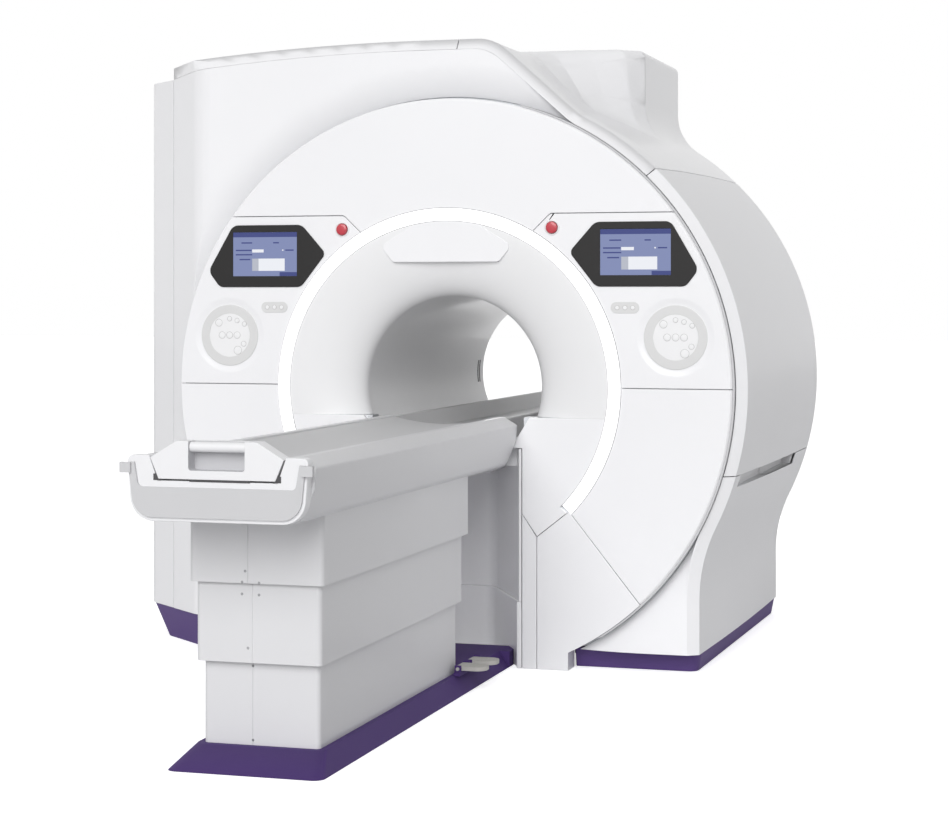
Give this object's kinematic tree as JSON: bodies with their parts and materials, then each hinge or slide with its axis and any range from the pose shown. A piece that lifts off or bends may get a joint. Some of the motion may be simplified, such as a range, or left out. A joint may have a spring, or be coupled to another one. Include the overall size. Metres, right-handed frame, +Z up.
{
  "type": "mri scanner",
  "caption": "Closed-bore magnetic resonance scanner with a lit bore ring, side turret and a lifting patient table with a sliding cradle.",
  "frame": {"origin": "on the floor below the isocentre, at the centre of the floor anchors", "axes": "+X right as seen facing the bore, +Y into the bore, +Z up"},
  "size_m": [2.5869, 4.55, 2.45],
  "materials": {
    "cover_white": "satin moulded",
    "soft_white": "satin moulded",
    "light_grey": "matte moulded",
    "liner_white": "matte laminate",
    "base_purple": "matte moulded",
    "vessel_steel": "brushed",
    "foot_steel": "painted",
    "coil_resin": "cast resin",
    "frame_aluminium": "milled",
    "column_aluminium": "anodised",
    "lit_ring": "lit diffuser",
    "bezel_black": "gloss",
    "screen_glass": "lit display",
    "button_red": "gloss",
    "pedal_grey": "matte",
    "bumper_grey": "matte",
    "cradle_grey": "matte laminate"
  },
  "bodies": {
    "scanner": {"cryostat": "vessel_steel", "gradient_coil": "coil_resin", "body_coil": "coil_resin", "bore_liner": "liner_white", "foot_left": "foot_steel", "foot_right": "foot_steel", "cold_head": "vessel_steel", "vent_pipe": "vessel_steel", "front_frame": "frame_aluminium", "rear_frame": "frame_aluminium", "front_funnel": "liner_white", "rear_funnel": "liner_white", "bore_bridge": "light_grey", "light_ring": "lit_ring", "visor": "cover_white", "upper_front_cover": "cover_white", "control_panel_left": "cover_white", "control_panel_right": "cover_white", "lower_front_cover_left": "cover_white", "lower_front_cover_right": "cover_white", "apron_left": "cover_white", "apron_right": "cover_white", "pedestal_left": "cover_white", "pedestal_right": "cover_white", "dock_niche": "cover_white", "dock_cover": "cover_white", "front_surround": "cover_white", "side_cover_left": "cover_white", "side_cover_upper": "cover_white", "side_cover_lower": "cover_white", "top_cover_left": "cover_white", "top_cover_turret": "cover_white", "rear_cover": "cover_white", "plinth_left": "base_purple", "plinth_right": "base_purple", "bezel_left": "bezel_black", "bezel_right": "bezel_black", "screen_left": "screen_glass", "screen_right": "screen_glass", "key_pad_left": "light_grey", "key_pad_right": "light_grey", "pill_pad_left": "light_grey", "pill_pad_right": "light_grey", "table_base": "base_purple", "table_cover_lower": "soft_white", "column_outer": "column_aluminium", "pedal_bracket": "base_purple"},
    "lift_middle": {"table_cover_middle": "soft_white", "column_middle": "column_aluminium"},
    "table_top": {"table_cover_upper": "soft_white", "column_inner": "column_aluminium", "table_body": "soft_white", "table_end_frame": "cover_white", "table_end_bumper": "bumper_grey"},
    "cradle": {"cradle": "cradle_grey", "cradle_grip": "cover_white"},
    "pedal_1": {"pedal_1": "pedal_grey"},
    "pedal_2": {"pedal_2": "pedal_grey"},
    "stop_left": {"stop_button_left": "button_red"},
    "stop_right": {"stop_button_right": "button_red"}
  },
  "joints": [
    {"name": "table_lift", "type": "slide", "parent": "scanner", "child": "table_top", "axis": [0, 0, 1], "range_m": [-0.38, 0]},
    {"name": "cover_lift", "type": "slide", "parent": "scanner", "child": "lift_middle", "axis": [0, 0, 1], "range_m": [-0.228, 0]},
    {"name": "cradle_slide", "type": "slide", "parent": "table_top", "child": "cradle", "axis": [0, 1, 0], "range_m": [0, 1.7]},
    {"name": "pedal_1_press", "type": "hinge", "parent": "scanner", "child": "pedal_1", "pos_m": [0.216, -1.377, 0.084], "axis": [0, 1, 0], "range_deg": [0, 10], "stiffness_Nm_per_rad": 6, "springref_deg": -5.73},
    {"name": "pedal_2_press", "type": "hinge", "parent": "scanner", "child": "pedal_2", "pos_m": [0.216, -1.244, 0.084], "axis": [0, 1, 0], "range_deg": [0, 10], "stiffness_Nm_per_rad": 6, "springref_deg": -5.73},
    {"name": "stop_left_press", "type": "slide", "parent": "scanner", "child": "stop_left", "axis": [0, 1, 0], "range_m": [0, 0.005], "stiffness_N_per_m": 1500, "springref_m": -0.002},
    {"name": "stop_right_press", "type": "slide", "parent": "scanner", "child": "stop_right", "axis": [0, 1, 0], "range_m": [0, 0.005], "stiffness_N_per_m": 1500, "springref_m": -0.002}
  ],
  "couplings": [
    {"joint": "cover_lift", "follows": "table_lift", "ratio": 0.6}
  ]
}
